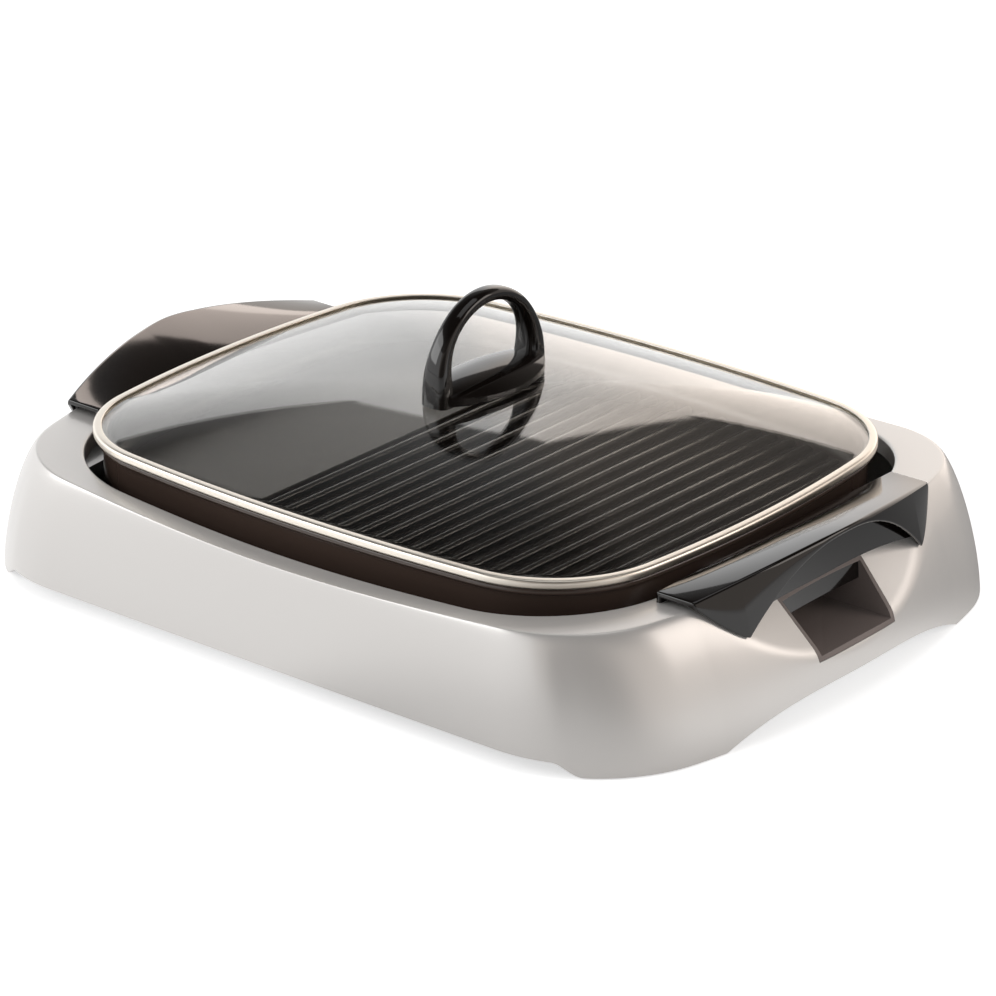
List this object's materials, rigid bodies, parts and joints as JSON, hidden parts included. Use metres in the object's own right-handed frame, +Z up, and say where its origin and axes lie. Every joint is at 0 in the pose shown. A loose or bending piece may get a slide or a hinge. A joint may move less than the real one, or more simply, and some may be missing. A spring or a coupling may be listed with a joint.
{
  "type": "electric table grill",
  "caption": "Long low electric grill with a silver base, black end handles, a lift-out ribbed plate, a rear drip tray and a domed glass lid that lifts off.",
  "frame": {"origin": "on the table, under the middle of the base's footprint", "axes": "+Z up; +X along the long side, towards the end with the control pocket; -Y is the front, and the drip tray pulls out towards +Y"},
  "size_m": [0.477, 0.352, 0.1579],
  "materials": {
    "silver_shell": "satin silver paint",
    "black_plastic": "gloss",
    "dark_plastic": "fine matte",
    "cover_sheet": "zinc-coated sheet",
    "rubber": "matte",
    "bright_sheet": "bright rolled",
    "ceramic": "unglazed",
    "steel": "zinc-plated",
    "tray_sheet": "drawn sheet",
    "non_stick": "dark non-stick coating",
    "element_steel": "heat-darkened",
    "pin_steel": "nickel-plated",
    "glass": "clear tempered",
    "rim_steel": "polished",
    "brass": "turned",
    "silicone": "matte"
  },
  "bodies": {
    "base": {"base_housing": "silver_shell", "handle_right": "black_plastic", "handle_left": "black_plastic", "handle_screws": "steel", "control_pocket": "dark_plastic", "pocket_screws": "steel", "bottom_cover": "cover_sheet", "cover_screws": "steel", "foot_front_left": "rubber", "foot_front_right": "rubber", "foot_rear_left": "rubber", "foot_rear_right": "rubber", "heat_shield": "bright_sheet", "plate_posts": "ceramic", "post_screws": "steel", "tray_rail_left": "steel", "tray_rail_right": "steel", "rail_rivets": "steel"},
    "tray": {"drip_tray": "tray_sheet", "tray_pull": "silver_shell", "pull_rivets": "steel"},
    "plate": {"grill_plate": "non_stick", "heating_element": "element_steel", "element_clamps": "steel", "clamp_screws": "steel", "terminal_pins": "pin_steel", "terminal_insulators": "ceramic", "terminal_guard": "steel", "guard_screws": "steel", "probe_tube": "steel"},
    "lid": {"lid_glass": "glass", "lid_rim": "rim_steel", "lid_handle": "black_plastic", "handle_insert": "brass", "handle_gasket": "silicone", "lid_washer": "steel", "lid_screw": "steel"}
  },
  "joints": [
    {"name": "tray_slide", "type": "slide", "parent": "base", "child": "tray", "axis": [0, 1, 0], "range_m": [0, 0.18]},
    {"name": "plate_lift", "type": "slide", "parent": "base", "child": "plate", "axis": [0, 0, 1], "range_m": [0, 0.12]},
    {"name": "lid_lift", "type": "slide", "parent": "plate", "child": "lid", "axis": [0, 0, 1], "range_m": [0, 0.12]}
  ]
}
